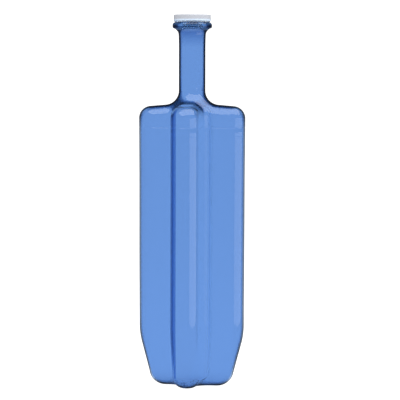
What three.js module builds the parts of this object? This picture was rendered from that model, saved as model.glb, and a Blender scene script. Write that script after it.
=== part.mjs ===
// A tall four-lobed glass bottle with a slim neck, closed by a flat-headed
// push-in stopper. Units are millimetres, +Z is up, and the origin is the
// centre of the resting plane under the bottle. One lobe points to each of
// -Y, +X, +Y and -X.
import * as THREE from 'three';
import { mergeVertices } from 'three/addons/utils/BufferGeometryUtils.js';

// ---------- glass: plan of the lobes ----------
const REACH_TOP = 44.1;      // axis to lobe tip under the shoulder
const REACH_LOW = 43.55;       // axis to lobe tip where the lower taper starts
const TAPER_TOP_Z = 42.4;     // height of that bend
const TAPER_SLOPE = 0.271;    // inward lean of the lobe tips below it
const BEND = 8.0;             // half height of the bend
const SIDE_TOP_Z = 216.4;
const HALF_W = 11.8;          // half width of a lobe, and radius of its tip
const HALF_W_BASE = 11.4;     // the same at the resting plane
const GROOVE_R = 6.3;         // fillet in the groove between two lobes

// ---------- glass: shoulder and heel ----------
const EDGE_R = 9.0;           // rounding along the upper edge of the lobes
const COVE_R = 11.6;          // cove from the neck into the shoulder
const NECK_ROOT_Z = 242.15;    // the straight neck ends here
const FALL = 0.085;            // fall of the shoulder per mm outwards
const HEEL_R = 9.2;           // rounding along the lower edge of the lobes
const FOOT_INNER = 10.8;      // inset of the resting band's inner edge
const PUSH_UP = 1.6;          // rise of the hollow inside the resting band

// ---------- glass: neck, finish and wall ----------
const NECK_R = 10.85;
const WALL = 1.8;
const FLOOR_Z = 2.6;          // top of the glass floor next to the heel
const FLOOR_RISE = 1.6;       // rise of the floor at the axis
const MOUTH_Z = 297.8;        // sealing land
const BORE_R = NECK_R - WALL;

// ---------- stopper ----------
// All stopper heights are measured from the sealing land.
const GAP = 0.3;              // clearance between pieces that fit together
const HEAD_R = 15.15;
const HEAD_TOP = 6.2;
const HEAD_BOTTOM = 1.05;
const BOSS_R = 4.5;           // short boss under the head that carries the plug
const BOSS_END = -1.6;
const PLUG_R = 8.1;
const PLUG_TOP = 0.75;
const PLUG_END = -5.2;
const RING_Z = -2.6;          // middle of the sealing ring
const RING_SECTION = 0.75;
const RING_MID_R = 7.9;
const RING_SLOT = 0.8;        // half height of the ring's groove
const RING_SLOT_R = 6.95;
const WASHER_R = 14.6;
const WASHER_HOLE = 8.5;
const WASHER_LOW = 0.05, WASHER_HIGH = 1.0;

// ---------- mesh density ----------
const TIP_STEPS = 4;          // over a quarter turn of a lobe tip
const GROOVE_STEPS = 3;       // over a groove
const TURN = 44;              // round the stopper

// Lobe dimensions at height z, inset by the wall where w is the wall.
function lobes(z, wall = 0) {
  const taper = TAPER_SLOPE;
  const low = TAPER_TOP_Z - BEND, high = TAPER_TOP_Z + BEND;
  let reach;
  if (z >= high) {
    reach = REACH_LOW + (REACH_TOP - REACH_LOW) * Math.min(1, (z - high) / (SIDE_TOP_Z - high));
  } else if (z <= low) {
    reach = REACH_LOW - taper * (TAPER_TOP_Z - z);
  } else {
    reach = REACH_LOW - taper * (high - z) ** 2 / (4 * BEND);
  }
  const halfW = HALF_W_BASE + (HALF_W - HALF_W_BASE) * Math.min(1, z / high);
  return { reach: reach - wall, halfW: halfW - wall, groove: GROOVE_R + wall };
}

// Outline of four arms with round tips and filleted grooves, inset by d:
// points from the +X tip counter-clockwise.
function outline({ reach, halfW, groove }, d = 0) {
  const c = reach - halfW, f = halfW + groove, quarter = [];
  const w = halfW - d, g = groove + d;
  for (let i = 0; i <= TIP_STEPS; i++) {
    const a = (i / TIP_STEPS) * Math.PI / 2;
    quarter.push([c + w * Math.cos(a), w * Math.sin(a)]);
  }
  for (let i = 0; i <= GROOVE_STEPS; i++) {
    const a = -Math.PI / 2 - (i / GROOVE_STEPS) * Math.PI / 2;
    quarter.push([f + g * Math.cos(a), f + g * Math.sin(a)]);
  }
  for (let i = 0; i < TIP_STEPS; i++) {
    const a = (i / TIP_STEPS) * Math.PI / 2;
    quarter.push([w * Math.cos(a), c + w * Math.sin(a)]);
  }
  const ring = [];
  for (let q = 0; q < 4; q++) {
    const co = [1, 0, -1, 0][q], si = [0, 1, 0, -1][q];
    for (const [x, y] of quarter) ring.push([x * co - y * si, x * si + y * co]);
  }
  return ring;
}

// Distance from a point inside the outline to the outline.
function depth(x, y, { reach, halfW, groove }) {
  const u = Math.max(Math.abs(x), Math.abs(y)), v = Math.min(Math.abs(x), Math.abs(y));
  const c = reach - halfW, f = halfW + groove;
  if (u >= c) return halfW - Math.hypot(u - c, v);
  if (u >= f) return halfW - v;
  return Math.hypot(u - f, v - f) - groove;
}

// Height of the shoulder before its edge is rounded: the cove at the neck,
// then a gentle fall. The inner surface lies one wall thickness below.
function crown(r, wall) {
  const mid = NECK_R + COVE_R, R = COVE_R + wall;
  if (r >= mid) return NECK_ROOT_Z - R - FALL * (r - mid);
  return NECK_ROOT_Z - Math.sqrt(Math.max(0, R * R - (mid - r) ** 2));
}
const round = (d, R) => d >= R ? 0 : R - Math.sqrt(R * R - (R - d) ** 2);
const onShoulder = ([x, y], wall) => {
  const plan = lobes(SIDE_TOP_Z, wall);
  return [x, y, crown(Math.hypot(x, y), wall) - round(Math.max(0, depth(x, y, plan)), EDGE_R - wall)];
};

const level = (z, wall = 0, d = 0) => outline(lobes(z, wall), d).map(([x, y]) => [x, y, z]);
const plan0 = outline(lobes(SIDE_TOP_Z));
const circle = (r, z) => plan0.map(([x, y]) => [x / Math.hypot(x, y) * r, y / Math.hypot(x, y) * r, z]);

// Shoulder rings from the straight side inwards to the neck.
function shoulderRings(wall) {
  const plan = lobes(SIDE_TOP_Z, wall), R = EDGE_R - wall, neck = NECK_R - wall, rings = [];
  for (const t of [0, 0.08, 0.24, 0.48]) {
    rings.push(outline(plan, t * R).map((p) => onShoulder(p, wall)));
  }
  const edge = outline(plan, 0.62 * R);
  for (const t of [0, 0.17, 0.36, 0.56, 0.75, 0.9, 0.975]) {
    rings.push(edge.map(([x, y]) => {
      const r = Math.hypot(x, y);
      const k = (r + (neck - r) * t) / r;
      return onShoulder([x * k, y * k], wall);
    }));
  }
  return rings;
}

function heelRings(wall) {
  const R = HEEL_R - wall, base = wall ? FLOOR_Z : 0;
  return [0, 25, 48, 70, 90].map((deg) => {
    const a = deg * Math.PI / 180, z = base + R * (1 - Math.cos(a));
    return level(z, wall, R * (1 - Math.sin(a)));
  });
}

function bottleGeometry() {
  const rings = [];
  // underside and outer wall, upwards
  const foot = level(0, 0, FOOT_INNER);
  const scaled = (ring, k, z) => ring.map(([x, y]) => [x * k, y * k, z]);
  rings.push(scaled(foot, 0.45, PUSH_UP * 0.8));
  rings.push(foot);
  rings.push(...heelRings(0));
  for (const z of [20, 34.4, 38.4, 42.4, 46.4, 50.4, SIDE_TOP_Z]) rings.push(level(z));
  rings.push(...shoulderRings(0));
  rings.push(circle(NECK_R, NECK_ROOT_Z));
  // neck and finish, (radius, height)
  for (const [r, z] of [[10.85, 278], [11.05, 285.2], [11.15, 288.0], [11.5, 289.3], [12.15, 290.5],
    [12.95, 291.6], [14.0, 292.5], [15.2, 293.0], [15.9, 293.4], [16.15, 294.1], [16.15, 295.4],
    [16.05, 296.2], [15.6, 296.9], [15.1, 297.4], [14.3, 297.7], [13.3, MOUTH_Z], [9.8, MOUTH_Z],
    [9.25, MOUTH_Z - 0.2], [BORE_R, MOUTH_Z - 0.7]]) {
    rings.push(circle(r, z));
  }
  rings.push(circle(BORE_R, NECK_ROOT_Z));
  // inner wall, downwards
  rings.push(...shoulderRings(WALL).reverse());
  rings.push(level(SIDE_TOP_Z, WALL));
  for (const z of [50.4, 46.4, 42.4, 38.4, 34.4, 20]) rings.push(level(z, WALL));
  rings.push(...heelRings(WALL).reverse());
  rings.push(scaled(rings[rings.length - 1], 0.45, FLOOR_Z + FLOOR_RISE * 0.8));

  const n = rings[0].length, pos = [], tri = [];
  pos.push(0, 0, PUSH_UP);
  for (const ring of rings) for (const p of ring) pos.push(...p);
  pos.push(0, 0, FLOOR_Z + FLOOR_RISE);
  const at = (k, i) => 1 + k * n + (i % n), last = pos.length / 3 - 1;
  for (let i = 0; i < n; i++) {
    tri.push(0, at(0, i + 1), at(0, i));
    for (let k = 0; k + 1 < rings.length; k++) {
      tri.push(at(k, i), at(k, i + 1), at(k + 1, i + 1), at(k, i), at(k + 1, i + 1), at(k + 1, i));
    }
    tri.push(at(rings.length - 1, i), at(rings.length - 1, i + 1), last);
  }
  const g = new THREE.BufferGeometry();
  g.setAttribute('position', new THREE.Float32BufferAttribute(pos, 3));
  g.setIndex(tri);
  return g;
}

// A body of revolution about +Z from (radius, height) pairs.
function turned(profile, steps = TURN) {
  const g = new THREE.LatheGeometry(profile.map(([r, z]) => new THREE.Vector2(r, z)), steps);
  g.rotateX(Math.PI / 2);
  g.deleteAttribute('normal');
  g.deleteAttribute('uv');
  return mergeVertices(g, 1e-4);
}

function piece(name, geometry, color, roughness, extra = {}) {
  const mesh = new THREE.Mesh(geometry, new THREE.MeshStandardMaterial({ color, roughness, metalness: 0, ...extra }));
  mesh.name = name;
  return mesh;
}

const object = new THREE.Group();

object.add(piece('bottle', bottleGeometry(), 0x6994d8, 0.06, { transparent: true, opacity: 0.5 }));

// ---------- stopper ----------
const stopper = new THREE.Group();
stopper.position.z = MOUTH_Z;
object.add(stopper);

// flat head with a boss under it
stopper.add(piece('stopper_cap', turned([
  [0, BOSS_END], [BOSS_R - 0.4, BOSS_END], [BOSS_R, BOSS_END + 0.4], [BOSS_R, HEAD_BOTTOM],
  [HEAD_R - 0.35, HEAD_BOTTOM], [HEAD_R, HEAD_BOTTOM + 0.35],
  [HEAD_R, HEAD_TOP - 0.45], [HEAD_R - 0.45, HEAD_TOP], [0, HEAD_TOP]]), 0xe9ebf0, 0.35));

// soft plug: a cup over the boss, with one groove round it
stopper.add(piece('stopper_plug', turned([
  [0, PLUG_END], [PLUG_R - 0.7, PLUG_END], [PLUG_R, PLUG_END + 0.8],
  [PLUG_R, RING_Z - RING_SLOT], [RING_SLOT_R, RING_Z - RING_SLOT],
  [RING_SLOT_R, RING_Z + RING_SLOT], [PLUG_R, RING_Z + RING_SLOT],
  [PLUG_R, PLUG_TOP], [BOSS_R + GAP, PLUG_TOP], [BOSS_R + GAP, BOSS_END - GAP], [0, BOSS_END - GAP]]), 0xdde8f2, 0.4));

stopper.add(piece('mouth_washer', turned([
  [WASHER_HOLE, WASHER_LOW], [WASHER_R, WASHER_LOW], [WASHER_R, WASHER_HIGH],
  [WASHER_HOLE, WASHER_HIGH], [WASHER_HOLE, WASHER_LOW]]), 0xdde8f2, 0.5));

const section = [];
for (let k = 0; k < 8; k++) {
  const a = k / 8 * 2 * Math.PI;
  section.push([RING_MID_R + RING_SECTION * Math.cos(a), RING_SECTION * Math.sin(a)]);
}
section.push(section[0]);
const ring = piece('plug_seal_ring', turned(section, 36), 0xdde8f2, 0.5);
ring.position.z = RING_Z;
stopper.add(ring);

export default object;
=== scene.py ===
import bpy, bmesh, math, random
import numpy as np
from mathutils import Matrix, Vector, noise


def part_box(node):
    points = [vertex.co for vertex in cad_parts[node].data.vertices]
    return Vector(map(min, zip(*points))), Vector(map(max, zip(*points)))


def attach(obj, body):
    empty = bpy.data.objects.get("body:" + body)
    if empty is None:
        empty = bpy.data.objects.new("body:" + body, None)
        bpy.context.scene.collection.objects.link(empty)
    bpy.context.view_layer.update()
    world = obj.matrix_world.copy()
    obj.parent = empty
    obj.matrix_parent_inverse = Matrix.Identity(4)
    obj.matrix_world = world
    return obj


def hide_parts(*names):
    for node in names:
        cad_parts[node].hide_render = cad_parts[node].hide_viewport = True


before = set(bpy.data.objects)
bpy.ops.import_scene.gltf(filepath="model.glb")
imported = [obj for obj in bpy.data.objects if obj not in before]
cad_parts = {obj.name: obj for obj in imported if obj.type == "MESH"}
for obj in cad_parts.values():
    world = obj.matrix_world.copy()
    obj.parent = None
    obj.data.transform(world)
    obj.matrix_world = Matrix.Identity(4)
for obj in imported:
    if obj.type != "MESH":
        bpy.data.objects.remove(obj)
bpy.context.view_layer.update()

# ---------------------------------------------------------------- dimensions
# Everything is worked out in millimetres, and written to the meshes in metres.
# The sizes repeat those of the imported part, and the heights are tied to its
# boxes, so that the fine surfaces lie on the plain ones.
MM = 0.001
lo_b, hi_b = (np.array(c, float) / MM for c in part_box("bottle"))
lo_c, hi_c = (np.array(c, float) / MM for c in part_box("stopper_cap"))
lo_p, hi_p = (np.array(c, float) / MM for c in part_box("stopper_plug"))
lo_w, hi_w = (np.array(c, float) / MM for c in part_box("mouth_washer"))
lo_r, hi_r = (np.array(c, float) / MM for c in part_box("plug_seal_ring"))

REACH_TOP = float(hi_b[0])
MOUTH_Z = float(hi_b[2])
REACH_LOW, TAPER_TOP_Z, TAPER_SLOPE, BEND = REACH_TOP - 0.55, 42.4, 0.271, 8.0
SIDE_TOP_Z = 216.4
HALF_W, HALF_W_BASE, GROOVE_R = 11.8, 11.4, 6.3
EDGE_R, COVE_R, NECK_ROOT_Z, FALL = 9.0, 11.6, 242.15, 0.085
HEEL_R, FOOT_INNER, PUSH_UP = 9.2, 10.8, 1.6
NECK_R, WALL, NECK_WALL = 10.85, 1.5, 1.8

# mesh density: points round a quarter of a lobe tip, a flank and a groove
TIP, FLANK, GRV = ((14, 5, 12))


def lobes(z, wall=0.0):
    low, high = TAPER_TOP_Z - BEND, TAPER_TOP_Z + BEND
    if z >= high:
        reach = REACH_LOW + (REACH_TOP - REACH_LOW) * min(1.0, (z - high) / (SIDE_TOP_Z - high))
    elif z <= low:
        reach = REACH_LOW - TAPER_SLOPE * (TAPER_TOP_Z - z)
    else:
        reach = REACH_LOW - TAPER_SLOPE * (high - z) ** 2 / (4 * BEND)
    half = HALF_W_BASE + (HALF_W - HALF_W_BASE) * min(1.0, z / high)
    return reach - wall, half - wall, GROOVE_R + wall


def outline(plan, d=0.0):
    """Points round four arms with round tips and filleted grooves, inset by d."""
    reach, half, groove = plan
    c, f = reach - half, half + groove
    w, g = half - d, groove + d
    a = np.arange(TIP + 1) / TIP * math.pi / 2
    q = [np.stack([c + w * np.cos(a), w * np.sin(a)], 1)]
    t = np.arange(1, FLANK) / FLANK
    q.append(np.stack([c + (f - c) * t, np.full(len(t), w)], 1))
    b = -math.pi / 2 - np.arange(GRV + 1) / GRV * math.pi / 2
    q.append(np.stack([f + g * np.cos(b), f + g * np.sin(b)], 1))
    q.append(np.stack([np.full(len(t), w), f + (c - f) * t], 1))
    a = np.arange(TIP) / TIP * math.pi / 2
    q.append(np.stack([w * np.cos(a), c + w * np.sin(a)], 1))
    q = np.concatenate(q)
    return np.concatenate([
        np.stack([q[:, 0] * co - q[:, 1] * si, q[:, 0] * si + q[:, 1] * co], 1)
        for co, si in ((1, 0), (0, 1), (-1, 0), (0, -1))])


def depth(x, y, plan):
    reach, half, groove = plan
    u, v = np.maximum(abs(x), abs(y)), np.minimum(abs(x), abs(y))
    c, f = reach - half, half + groove
    return np.where(u >= c, half - np.hypot(u - c, v),
                    np.where(u >= f, half - v, np.hypot(u - f, v - f) - groove))


def crown(r, wall):
    mid, big = NECK_R + COVE_R, COVE_R + wall
    cove = NECK_ROOT_Z - np.sqrt(np.maximum(0, big * big - (mid - r) ** 2))
    return np.where(r >= mid, NECK_ROOT_Z - big - FALL * (r - mid), cove)


def rounding(d, big):
    d = np.maximum(0, d)
    return np.where(d >= big, 0, big - np.sqrt(np.maximum(0, big * big - (big - d) ** 2)))


def on_shoulder(xy, wall):
    plan = lobes(SIDE_TOP_Z, wall)
    z = crown(np.hypot(xy[:, 0], xy[:, 1]), wall) - rounding(depth(xy[:, 0], xy[:, 1], plan), EDGE_R - wall)
    return np.column_stack([xy, z])


# shallow lines round the body where the mould's parts met: height, depth
MOULD_LINES = ((212.0, 0.2), (205.4, 0.05), (217.4, 0.06), (34.0, 0.05))


def level(z, wall=0.0, d=0.0):
    sink = 0.0 if wall or d else sum(deep * max(0.0, 1 - abs(z - at) / 0.45) for at, deep in MOULD_LINES)
    o = outline(lobes(z, wall), d + sink)
    return np.column_stack([o, np.full(len(o), z)])


_plan = outline(lobes(SIDE_TOP_Z))
_unit = _plan / np.hypot(_plan[:, 0], _plan[:, 1])[:, None]


def circle(r, z):
    return np.column_stack([_unit * r, np.full(len(_unit), z)])


def shoulder_rings(wall):
    plan, big, neck = lobes(SIDE_TOP_Z, wall), EDGE_R - wall, NECK_R - wall
    rings = [on_shoulder(outline(plan, t * big), wall)
             for t in (0, .006, .024, .054, .095, .146, .207, .276, .352, .434, .52, .62)]
    edge = rings[-1][:, :2]
    r = np.hypot(edge[:, 0], edge[:, 1])
    for t in [0.05, .11, .18, .26, .34, .42, .5, .58, .66, .73, .79, .845, .89, .925, .952, .972, .986, .995]:
        rings.append(on_shoulder(edge * ((r + (neck - r) * t) / r)[:, None], wall))
    return rings


def heel_rings(wall):
    big, base = HEEL_R - wall, wall
    out = []
    for deg in np.linspace(0, 90, 13):
        a = math.radians(deg)
        out.append(level(base + big * (1 - math.cos(a)), wall, big * (1 - math.sin(a))))
    return out


FINISH = [(10.85, 278), (10.88, 280), (10.93, 282.5), (11.0, 285.2), (11.06, 287), (11.16, 288.3), (11.32, 289.1),
          (11.6, 289.8), (12.0, 290.45), (12.5, 291.1), (13.1, 291.75), (13.8, 292.35), (14.6, 292.8),
          (15.3, 293.05), (15.75, 293.3), (16.02, 293.7), (16.13, 294.2), (16.15, 294.8), (16.14, 295.4),
          (16.06, 296.0), (15.9, 296.5), (15.6, 296.95), (15.2, 297.35), (14.7, 297.6), (14.1, 297.74),
          (13.4, 297.8), (12.0, 297.8), (10.6, 297.8), (9.9, 297.78), (9.5, 297.66), (9.2, 297.45), (9.07, 297.15),
          (9.05, 296.8)]


def bottle_rings():
    global OUTER_RINGS
    rings = []
    foot = level(0, 0, FOOT_INNER)
    for k in (0.12, 0.3, 0.5, 0.7, 0.86, 0.95):
        rings.append(np.column_stack([foot[:, :2] * k, np.full(len(foot), PUSH_UP * (1 - k ** 3))]))
    rings.append(foot)
    rings += heel_rings(0)
    zs = [12, 16, 21, 27, 31, 34.4, 36.4, 38.4, 40.4, 42.4, 44.4, 46.4, 48.4, 50.4, 56, 66, 80]
    zs += list(np.linspace(92, 200, 13)) + [SIDE_TOP_Z]
    for at, deep in MOULD_LINES[:2] + MOULD_LINES[3:]:
        zs += [at - 0.46, at - 0.2, at, at + 0.2, at + 0.46]
    zs = sorted(zs)
    rings += [level(z) for z in zs]
    rings += shoulder_rings(0)
    rings += [circle(NECK_R, z) for z in (NECK_ROOT_Z, 246, 252, 260, 269)]
    rings += [circle(r, z) for r, z in FINISH]
    OUTER_RINGS = len(rings) - 3
    rings += [circle(NECK_R - NECK_WALL, z) for z in (294, 290, 284, 278, 270, 262)]
    rings += [circle(NECK_R - NECK_WALL + (NECK_WALL - WALL) * t, z) for t, z in ((0.1, 258), (0.5, 252), (0.9, 246), (1, NECK_ROOT_Z))]
    rings += shoulder_rings(WALL)[::-1]
    rings += [level(z, WALL) for z in zs[::-1]]
    rings += heel_rings(WALL)[::-1]
    last = rings[-1]
    for k in (0.95, 0.86, 0.7, 0.5, 0.3, 0.12):
        rings.append(np.column_stack([last[:, :2] * k, np.full(len(last), WALL + PUSH_UP * (1 - k ** 3))]))
    return [uneven(ring) for ring in rings]


def waviness(p, strength):
    """A slight unevenness of pressed and blown glass: a height in mm from smooth noise at p in mm."""
    v = Vector((p[0] * 0.035, p[1] * 0.035, p[2] * 0.014))
    w = Vector((p[0] * 0.11 + 7.3, p[1] * 0.11, p[2] * 0.05))
    return strength * (noise.noise(v) + 0.35 * noise.noise(w))


def uneven(ring):
    """Sinks a ring of the body a little, more in some places than others, as blown glass is."""
    p = np.array(ring, float)
    r = np.hypot(p[:, 0], p[:, 1])
    keep = np.interp(p[:, 2], [3, 14, 205, 240], [0, 1, 1, 0])
    for i in range(len(p)):
        if keep[i] > 0 and r[i] > 1:
            p[i, :2] *= 1 - keep[i] * max(0.0, 0.12 + waviness(p[i], 0.16)) / r[i]
    return p


def new_object(name, verts, faces, smooth=True):
    me = bpy.data.meshes.new(name)
    me.from_pydata([tuple(v) for v in verts], [], faces)
    me.validate()
    ob = bpy.data.objects.new(name, me)
    bpy.context.scene.collection.objects.link(ob)
    if smooth:
        me.polygons.foreach_set("use_smooth", [True] * len(me.polygons))
    me.update()
    return ob


def loft(name, rings, bottom, top):
    """A closed skin through rings of equal length, capped by a point at each end."""
    n = len(rings[0])
    verts = [bottom] + [tuple(p) for ring in rings for p in ring] + [top]
    faces = []
    at = lambda k, i: 1 + k * n + (i % n)
    for i in range(n):
        faces.append((0, at(0, i + 1), at(0, i)))
        for k in range(len(rings) - 1):
            faces.append((at(k, i), at(k, i + 1), at(k + 1, i + 1), at(k + 1, i)))
        faces.append((at(len(rings) - 1, i), at(len(rings) - 1, i + 1), len(verts) - 1))
    return new_object(name, [np.array(v) * MM for v in verts], faces)


def turned(name, profile, steps, closed):
    """A body of revolution from (radius, height) in mm. Unless closed on itself, its ends lie on the axis."""
    verts, faces, rows = [], [], []
    for r, z in profile:
        if r < 1e-6:
            rows.append([len(verts)]); verts.append((0, 0, z))
        else:
            rows.append(list(range(len(verts), len(verts) + steps)))
            verts += [(r * math.cos(2 * math.pi * i / steps), r * math.sin(2 * math.pi * i / steps), z) for i in range(steps)]
    pairs = list(zip(rows, rows[1:])) + ([(rows[-1], rows[0])] if closed else [])
    for a, b in pairs:
        for i in range(steps):
            j = (i + 1) % steps
            if len(a) == 1:
                faces.append((a[0], b[j], b[i]))
            elif len(b) == 1:
                faces.append((a[i], a[j], b[0]))
            else:
                faces.append((a[i], a[j], b[j], b[i]))
    ob = new_object(name, [np.array(v) * MM for v in verts], faces)
    bm = bmesh.new(); bm.from_mesh(ob.data); bmesh.ops.recalc_face_normals(bm, faces=bm.faces)
    bm.to_mesh(ob.data); bm.free()
    return ob


# ---------------------------------------------------------------- materials
# MASK_TIP and MASK_SIDE set how strongly the painted dark rim shade shows on the lobe tips and beside them; RAMP is
# that painted shade's colour by facing, down to near black at the outline.
MASK_TIP, MASK_SIDE = 0.7, 0.5
SKY, SKY_GLOSS = 1.25, 0.06
T_COL = (0.338, 0.496, 0.758, 1)
THICK_COL = (0.085, 0.2, 0.47, 1)
LATE_COL = (0.96, 0.98, 0.99, 1)
G_IOR = 1.01
RAMP = ((0.34, (1, 1, 1, 1)), (0.44, (0.6, 0.66, 0.74, 1)), (0.5, (0.06, 0.12, 0.25, 1)), (0.62, (0.003, 0.012, 0.028, 1)), (1.0, (0.002, 0.008, 0.02, 1)))


def material(name):
    m = bpy.data.materials.new(name)
    m.use_nodes = True
    nt = m.node_tree
    bsdf = next(n for n in nt.nodes if n.type == "BSDF_PRINCIPLED")
    return m, nt, bsdf


def add(nt, kind, **values):
    n = nt.nodes.new(kind)
    for k, v in values.items():
        if k in n.inputs.keys():
            n.inputs[k].default_value = v
        else:
            setattr(n, k, v)
    return n


def feed(nt, node, slot, value):
    """Links a socket, or sets a plain number or colour."""
    if hasattr(value, "is_output"):
        nt.links.new(value, node.inputs[slot])
    else:
        node.inputs[slot].default_value = value


def maths(nt, op, a, b=0.0, c=0.5):
    n = nt.nodes.new("ShaderNodeMath")
    n.operation = op
    n.inputs[2].default_value = c
    feed(nt, n, 0, a)
    feed(nt, n, 1, b)
    return n.outputs[0]


def blend_colour(nt, factor, a, b, mode="MIX"):
    n = nt.nodes.new("ShaderNodeMix")
    n.data_type = "RGBA"
    n.blend_type = mode
    feed(nt, n, 0, factor)
    feed(nt, n, 6, a)
    feed(nt, n, 7, b)
    return n.outputs[2]


def smooth_range(nt, value, lo, hi, a=0.0, b=1.0, kind="SMOOTHSTEP"):
    n = nt.nodes.new("ShaderNodeMapRange")
    n.interpolation_type = kind
    feed(nt, n, 0, value)
    for k, v in zip((1, 2, 3, 4), (lo, hi, a, b)):
        n.inputs[k].default_value = v
    return n.outputs[0]


def glass_material():
    m, nt, b = material("blue_glass")
    b.inputs["Transmission Weight"].default_value = 1.0
    b.inputs["IOR"].default_value = G_IOR
    b.inputs["Roughness"].default_value = 0.0
    b.inputs["Coat Roughness"].default_value = 0.03
    b.inputs["Coat IOR"].default_value = 1.5
    facing = add(nt, "ShaderNodeLayerWeight", Blend=0.5).outputs["Facing"]
    path = nt.nodes.new("ShaderNodeLightPath")
    gloss = add(nt, "ShaderNodeAttribute", attribute_name="gloss").outputs["Fac"]
    nt.links.new(maths(nt, "MULTIPLY", path.outputs["Is Camera Ray"], gloss), b.inputs["Coat Weight"])
    # Painted shade: the base colour darkens to a near-black rim where the surface turns away from the view. It stands
    # in for the dark outlines that refraction and reflection give glass, and partly for the glass's deeper colour along
    # the longer path near an edge. It is laid only where a camera ray first meets the glass or leaves its outer skin.
    ramp = nt.nodes.new("ShaderNodeValToRGB")
    el = ramp.color_ramp.elements
    while len(el) < len(RAMP):
        el.new(0.5)
    for e, (pos, col) in zip(el, RAMP):
        e.position, e.color = pos, col
    wider = add(nt, "ShaderNodeAttribute", attribute_name="rim_width").outputs["Fac"]
    nt.links.new(maths(nt, "ADD", facing, maths(nt, "MULTIPLY", wider, 0.09)), ramp.inputs[0])
    mask = add(nt, "ShaderNodeAttribute", attribute_name="rim_shade").outputs["Fac"]
    outer = add(nt, "ShaderNodeAttribute", attribute_name="outer_skin").outputs["Fac"]
    leaving = maths(nt, "MULTIPLY", outer, maths(nt, "COMPARE", path.outputs["Transmission Depth"], 1.0, 0.5))
    crown = add(nt, "ShaderNodeAttribute", attribute_name="crown").outputs["Fac"]
    first = maths(nt, "MAXIMUM", maths(nt, "MULTIPLY", path.outputs["Is Camera Ray"], crown), leaving)
    rim = blend_colour(nt, maths(nt, "MULTIPLY", mask, first), (1, 1, 1, 1), ramp.outputs[0])
    late = maths(nt, "MULTIPLY", maths(nt, "GREATER_THAN", path.outputs["Transmission Depth"], 3.5), smooth_range(nt, facing, 0.2, 0.4))
    thick = add(nt, "ShaderNodeAttribute", attribute_name="thickness").outputs["Fac"]
    line = add(nt, "ShaderNodeAttribute", attribute_name="bead_shade_line").outputs["Fac"]
    deep = blend_colour(nt, thick, T_COL, THICK_COL)
    # Painted shade: a near-black line round the middle of the bead.
    deep = blend_colour(nt, maths(nt, "MULTIPLY", line, 0.97), deep, (0.002, 0.02, 0.1, 1))
    bore = add(nt, "ShaderNodeAttribute", attribute_name="clear_bore").outputs["Fac"]
    deep = blend_colour(nt, bore, deep, (1, 1, 1, 1))
    tint = blend_colour(nt, late, deep, LATE_COL)
    nt.links.new(blend_colour(nt, 1.0, tint, rim, "MULTIPLY"), b.inputs["Base Color"])
    return m


def plastic_material():
    """Moulded white plastic: faintly mottled, a little glossier and greyer where it is handled, with a very fine
    texture. Its lower edge and the boss under the head carry painted light: a lighter blue standing in for light
    through and off the blue glass.
    """
    m, nt, b = material("white_plastic")
    where = nt.nodes.new("ShaderNodeTexCoord").outputs["Object"]
    cloud = add(nt, "ShaderNodeTexNoise", Scale=140.0, Detail=4.0)
    fine = add(nt, "ShaderNodeTexNoise", Scale=2600.0, Detail=3.0)
    scuff = add(nt, "ShaderNodeTexNoise", Scale=420.0, Detail=6.0, Roughness=0.7)
    for n in (cloud, fine, scuff):
        nt.links.new(where, n.inputs["Vector"])
    split = nt.nodes.new("ShaderNodeSeparateXYZ")
    nt.links.new(where, split.inputs[0])
    # Painted light: from about 3.4 mm above the mouth downwards, over the head's lower edge and the boss inside the
    # bead, the colour turns a lighter blue, in place of light through and off the blue glass round it.
    low = smooth_range(nt, split.outputs[2], (Z0 + 3.4) * MM, (Z0 + 1.0) * MM)
    colour = blend_colour(nt, low, (0.352, 0.366, 0.402, 1), (0.47, 0.58, 0.72, 1))
    mottling = blend_colour(nt, smooth_range(nt, cloud.outputs["Fac"], 0.3, 0.7), (0.965, 0.965, 0.97, 1), (1.0, 1.0, 1.0, 1))
    colour = blend_colour(nt, 1.0, colour, mottling, "MULTIPLY")
    marks = smooth_range(nt, scuff.outputs["Fac"], 0.62, 0.72)
    nt.links.new(blend_colour(nt, maths(nt, "MULTIPLY", marks, 0.25), colour, (0.27, 0.28, 0.30, 1)), b.inputs["Base Color"])
    nt.links.new(smooth_range(nt, scuff.outputs["Fac"], 0.35, 0.75, 0.30, 0.46), b.inputs["Roughness"])
    bump = add(nt, "ShaderNodeBump", Strength=0.12, Distance=0.00004)
    nt.links.new(fine.outputs["Fac"], bump.inputs["Height"])
    nt.links.new(bump.outputs[0], b.inputs["Normal"])
    b.inputs["IOR"].default_value = 1.5
    b.inputs["Subsurface Weight"].default_value = 0.2
    b.inputs["Subsurface Radius"].default_value = (0.003, 0.003, 0.003)
    return m


def polymer_material():
    """Soft pale see-through polymer, cloudier in some places than others."""
    m, nt, b = material("clear_polymer")
    where = nt.nodes.new("ShaderNodeTexCoord").outputs["Object"]
    cloud = add(nt, "ShaderNodeTexNoise", Scale=260.0, Detail=3.0)
    nt.links.new(where, cloud.inputs["Vector"])
    nt.links.new(blend_colour(nt, smooth_range(nt, cloud.outputs["Fac"], 0.3, 0.7), (0.76, 0.85, 0.93, 1), (0.88, 0.94, 0.99, 1)), b.inputs["Base Color"])
    nt.links.new(smooth_range(nt, cloud.outputs["Fac"], 0.3, 0.7, 0.12, 0.28), b.inputs["Roughness"])
    b.inputs["Transmission Weight"].default_value = 0.8
    b.inputs["IOR"].default_value = 1.3
    b.inputs["Coat Weight"].default_value = 1.0
    b.inputs["Coat Roughness"].default_value = 0.12
    return m


Z0 = MOUTH_Z
glass, plastic, silicone = glass_material(), plastic_material(), polymer_material()

# ---------------------------------------------------------------- bottle
rings = bottle_rings()
bottle = loft("bottle_glass", rings, (0, 0, PUSH_UP), (0, 0, WALL + PUSH_UP))
bottle.data.materials.append(glass)


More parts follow.
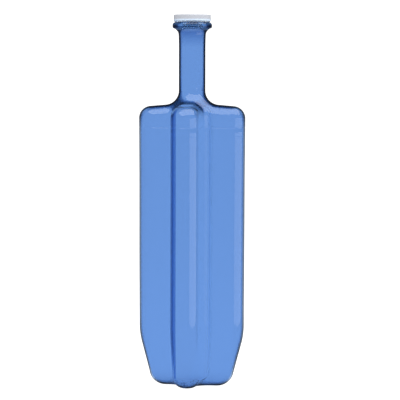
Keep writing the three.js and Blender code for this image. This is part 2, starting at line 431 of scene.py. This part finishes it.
def rim_shade(co):
    """How strongly the painted rim shade darkens the glass at a vertex: full at the neck, shoulder and heel, less on
    the lobe tips, none on the flanks.
    """
    x, y, z = (abs(co[:, k]) / MM for k in range(3))
    u, v = np.maximum(x, y), np.minimum(x, y)
    arc = np.degrees(np.arctan2(v, np.maximum(u - (REACH_TOP - HALF_W), 1e-3)))
    side = np.interp(arc, [0, 25, 45, 60, 75, 85], [MASK_TIP, MASK_TIP, MASK_SIDE, 0.45, 0.2, 0.0])
    tip = np.interp(z, [0, 10, 30, 60, 205, 214, 224, 320], [1.0, 1.0, 0.6, 0.0, 0.0, 0.3, 1.0, 1.0])
    groove = np.interp(z, [0, 2, 4, 7, 220, 226, 320], [1.0, 0.9, 0.5, 0.0, 0.0, 1.0, 1.0])
    whole = tip + (groove - tip) * np.interp(arc, [40, 68], [0, 1])
    return side + (1 - side) * whole


def rim_width(co):
    """How much wider the painted dark rim shade is on the neck and the shoulder than on the sides."""
    z = co[:, 2] / MM
    return np.interp(z, [0, 9, 15, 214, 226, 236, 250, 291, 293, 320], [2.2, 1.7, 0.2, 0, 1.8, 1.2, 0.35, 0.35, 1.8, 1.8])


def thickness(co):
    """Extra colour where the glass is thicker: under and in the bead and, less, at the heel."""
    z = co[:, 2] / MM
    return np.interp(z, [0, 1.5, 4, 10, 20, 120, 240, 278, 286, 290, 293.5, 320], [0.3, 0.22, 0.1, 0.03, 0.03, 0.01, 0, 0, 0.26, 0.45, 1.0, 1.0])


def clear_bore(co):
    """1 on the bore inside the bead, whose colour the outer skin carries."""
    r, z = np.hypot(co[:, 0], co[:, 1]) / MM, co[:, 2] / MM
    return (r < 9.6) * np.interp(z, [290, 293.5], [0, 1])


def bead_shade_line(co):
    """A painted shade line round the middle of the bead: a near-black band standing in for shade, not a colour of the
    glass.
    """
    r, z = np.hypot(co[:, 0], co[:, 1]) / MM, co[:, 2] / MM
    return np.interp(z, [293.2, 293.6, 294.4, 294.8], [0, 1, 1, 0]) * (r > 12)


co = np.empty(len(bottle.data.vertices) * 3, np.float32)
bottle.data.vertices.foreach_get("co", co)
co = co.reshape(-1, 3).astype(float)


outer_skin = np.zeros(len(co))
outer_skin[:1 + len(rings[0]) * OUTER_RINGS] = 1
no = np.empty(len(bottle.data.vertices) * 3, np.float32)
bottle.data.vertex_normals.foreach_get("vector", no)
no = no.reshape(-1, 3).astype(float)


def bead(co):
    """1 on the bead round the mouth."""
    return np.interp(co[:, 2] / MM, [291.5, 293.0, 296.8, 297.5], [0, 1, 1, 0])


def crown_share(co, no):
    """Less painted rim shade where a lobe's tip rounds into its flat top, and a little less on the top, which let the
    neck behind show.
    """
    r, z = np.hypot(co[:, 0], co[:, 1]) / MM, co[:, 2] / MM
    out = (no[:, 0] * co[:, 0] + no[:, 1] * co[:, 1]) / MM / np.maximum(r, 1e-3)
    tip = np.interp(out, [0.25, 0.5], [0, 1]) * np.interp(no[:, 2], [0.2, 0.5], [0, 1]) * np.interp(r, [33, 37], [0, 1])
    flat = np.interp(no[:, 2], [0.955, 0.985], [0, 1]) * np.interp(r, [19, 23], [0, 1])
    return 1 - np.maximum(0.7 * tip, 0.45 * flat) * (z > 215)


def flank(co):
    """1 on the flat flanks and in the grooves, 0 on the lobe tips, the shoulder, the neck and the heel."""
    x, y, z = (abs(co[:, k]) / MM for k in range(3))
    u, v = np.maximum(x, y), np.minimum(x, y)
    arc = np.degrees(np.arctan2(v, np.maximum(u - (REACH_TOP - HALF_W), 1e-3)))
    return np.interp(arc, [60, 84], [0, 1]) * np.interp(z, [6, 14, 205, 222], [0, 1, 1, 0])


for label, values in (("rim_shade", rim_shade(co) * (1 - 0.85 * bead(co) * abs(no[:, 2])) ), ("crown", crown_share(co, no)), ("rim_width", rim_width(co)), ("thickness", thickness(co)),
                      ("bead_shade_line", bead_shade_line(co)), ("clear_bore", clear_bore(co)), ("outer_skin", outer_skin), ("gloss", 1 - 0.75 * flank(co))):
    attr = bottle.data.attributes.new(label, "FLOAT", "POINT")
    attr.data.foreach_set("value", values.astype(np.float32))
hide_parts("bottle")
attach(bottle, "glass")


# ---------------------------------------------------------------- stopper
def fillet(points, radius, n=5):
    """Rounds the corners of an open (radius, height) profile; radius is one number or one per point."""
    out = [points[0]]
    for i in range(1, len(points) - 1):
        a, p, b = (np.array(points[k], float) for k in (i - 1, i, i + 1))
        r = radius[i] if isinstance(radius, (list, tuple)) else radius
        u, v = (a - p) / np.linalg.norm(a - p), (b - p) / np.linalg.norm(b - p)
        r = min(r, 0.45 * np.linalg.norm(a - p), 0.45 * np.linalg.norm(b - p))
        if r < 1e-4:
            out.append(tuple(p)); continue
        for k in range(n + 1):
            t = k / n
            out.append(tuple((1 - t) ** 2 * (p + u * r) + 2 * t * (1 - t) * p + t * t * (p + v * r)))
    out.append(points[-1])
    return out


Z0 = MOUTH_Z
TURN = 96
head_r, head_low, head_top, boss_end = float(hi_c[0]), Z0 + 1.05, float(hi_c[2]), float(lo_c[2])
boss_r, plug_r = 4.5, float(hi_p[0])
prof = [(0, boss_end), (boss_r, boss_end), (boss_r, head_low), (head_r, head_low), (head_r, head_top), (0, head_top)]
cap = turned("stopper_cap_body", fillet(prof, [0, 0.4, 0.2, 0.35, 0.6, 0]), TURN, False)
cap.data.materials.append(plastic)
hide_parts("stopper_cap")
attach(cap, "stopper")

ring_lo, ring_hi, slot_r = float(lo_r[2]) - 0.05, float(hi_r[2]) + 0.05, 6.95
plug_low, plug_top = float(lo_p[2]), float(hi_p[2])
prof = [(0, plug_low), (plug_r, plug_low), (plug_r, ring_lo), (slot_r, ring_lo), (slot_r, ring_hi), (plug_r, ring_hi),
        (plug_r, plug_top), (boss_r + 0.3, plug_top), (boss_r + 0.3, boss_end - 0.3), (0, boss_end - 0.3)]
plug = turned("stopper_plug_body", fillet(prof, [0, 0.9, 0.15, 0.2, 0.2, 0.15, 0.3, 0.15, 0.2, 0]), TURN, False)
plug.data.materials.append(silicone)
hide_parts("stopper_plug")
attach(plug, "stopper")


def section_ring(name, lo, hi, inner, outer, power, node):
    mid_r, mid_z = (inner + outer) / 2, (lo + hi) / 2
    pts = []
    n = 16
    for k in range(n):
        a = 2 * math.pi * k / n
        c, s = math.cos(a), math.sin(a)
        pts.append((mid_r + (outer - inner) / 2 * math.copysign(abs(c) ** power, c),
                    mid_z + (hi - lo) / 2 * math.copysign(abs(s) ** power, s)))
    ob = turned(name, pts, TURN, True)
    ob.data.materials.append(silicone)
    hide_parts(node)
    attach(ob, "stopper")
    return ob


section_ring("mouth_washer_seal", float(lo_w[2]), float(hi_w[2]), 8.5, float(hi_w[0]), 0.35, "mouth_washer")
section_ring("plug_ring_seal", float(lo_r[2]), float(hi_r[2]), 7.15, float(hi_r[0]), 1.0, "plug_seal_ring")


# ---------------------------------------------------------------- stage
def mirrored(nt):
    """1 for a ray that has just been reflected by gloss, otherwise 0."""
    p = nt.nodes.new("ShaderNodeLightPath")
    return maths(nt, "MULTIPLY", p.outputs["Is Glossy Ray"], maths(nt, "SUBTRACT", 1.0, p.outputs["Is Transmission Ray"]))


def stage_material():
    m, nt, b = material("stage_white")
    share = SKY_GLOSS / SKY
    seen = mirrored(nt)
    nt.links.new(blend_colour(nt, seen, (0.12, 0.12, 0.12, 1), (0.12 * share, 0.12 * share, 0.12 * share, 1)), b.inputs["Base Color"])
    nt.links.new(smooth_range(nt, seen, 0, 1, 0.88 * SKY, 0.88 * SKY_GLOSS, "LINEAR"), b.inputs["Emission Strength"])
    b.inputs["Roughness"].default_value = 0.9
    b.inputs["Emission Color"].default_value = (1, 1, 1, 1)
    return m


floor = new_object("floor", [(-12, -12, -0.0005), (12, -12, -0.0005), (12, 12, -0.0005), (-12, 12, -0.0005)], [(0, 1, 2, 3)], smooth=False)
floor.data.materials.append(stage_material())

world = bpy.data.worlds.new("studio")
bpy.context.scene.world = world
world.use_nodes = True
wt = world.node_tree
bg = next(n for n in wt.nodes if n.type == "BACKGROUND")
bg.inputs["Color"].default_value = (1, 1, 1, 1)
wt.links.new(smooth_range(wt, mirrored(wt), 0.0, 1.0, SKY, SKY_GLOSS, "LINEAR"), bg.inputs["Strength"])


def softbox(name, azimuth, elevation, distance, width, height, radiance, aim_z):
    """An area light of an even radiance, aimed at the object's axis at height aim_z (metres)."""
    data = bpy.data.lights.new(name, "AREA")
    data.shape = "RECTANGLE"
    data.size, data.size_y = width, height
    data.energy = radiance * width * height * math.pi
    ob = bpy.data.objects.new(name, data)
    bpy.context.scene.collection.objects.link(ob)
    az, el = math.radians(azimuth), math.radians(elevation)
    aim = Vector((0, 0, aim_z))
    ob.location = aim + distance * Vector((math.cos(el) * math.sin(az), -math.cos(el) * math.cos(az), math.sin(el)))
    ob.rotation_mode = "QUATERNION"
    ob.rotation_quaternion = (aim - ob.location).to_track_quat("-Z", "Y")
    ob.visible_camera = False
    ob.visible_transmission = False
    return ob


# azimuths run from the front of the object (-Y) towards +X
softbox("side_right", 76, 0, 0.42, 0.5, 0.236, 1.1, 0.118)
softbox("overhead", 38, 64, 1.2, 2.8, 1.4, 2.4, 0.2)

bpy.context.scene.view_settings.view_transform = "Standard"

# ---------------------------------------------------------------- camera
PX = 0.82          # mm per image point at the bottle's axis
FPX = 2008.0       # focal length in image points
DIST = FPX * PX
PHI, EYE, PITCH, XOFF, ROLL = 10.3, 244.2, 3.19, 8.2, 0.16
a, pt, yaw = math.radians(PHI), math.radians(PITCH), math.atan2(XOFF, FPX)
pos = Vector((DIST * math.sin(a), -DIST * math.cos(a), EYE)) * MM
h = Vector((-math.sin(a), math.cos(a), 0)); rt = Vector((math.cos(a), math.sin(a), 0))
h2 = h * math.cos(yaw) + rt * math.sin(yaw)
fwd = h2 * math.cos(pt) - Vector((0, 0, 1)) * math.sin(pt)
cam_data = bpy.data.cameras.new("camera")
cam_data.sensor_width = 36.0
cam_data.lens = FPX / 400.0 * 36.0
cam_data.clip_start, cam_data.clip_end = 0.01, 100
cam = bpy.data.objects.new("camera", cam_data)
bpy.context.scene.collection.objects.link(cam)
quat = fwd.to_track_quat("-Z", "Y")
cam.rotation_mode = "QUATERNION"
from mathutils import Quaternion
cam.rotation_quaternion = Quaternion(fwd, math.radians(-ROLL)) @ quat
cam.location = pos
bpy.context.scene.camera = cam
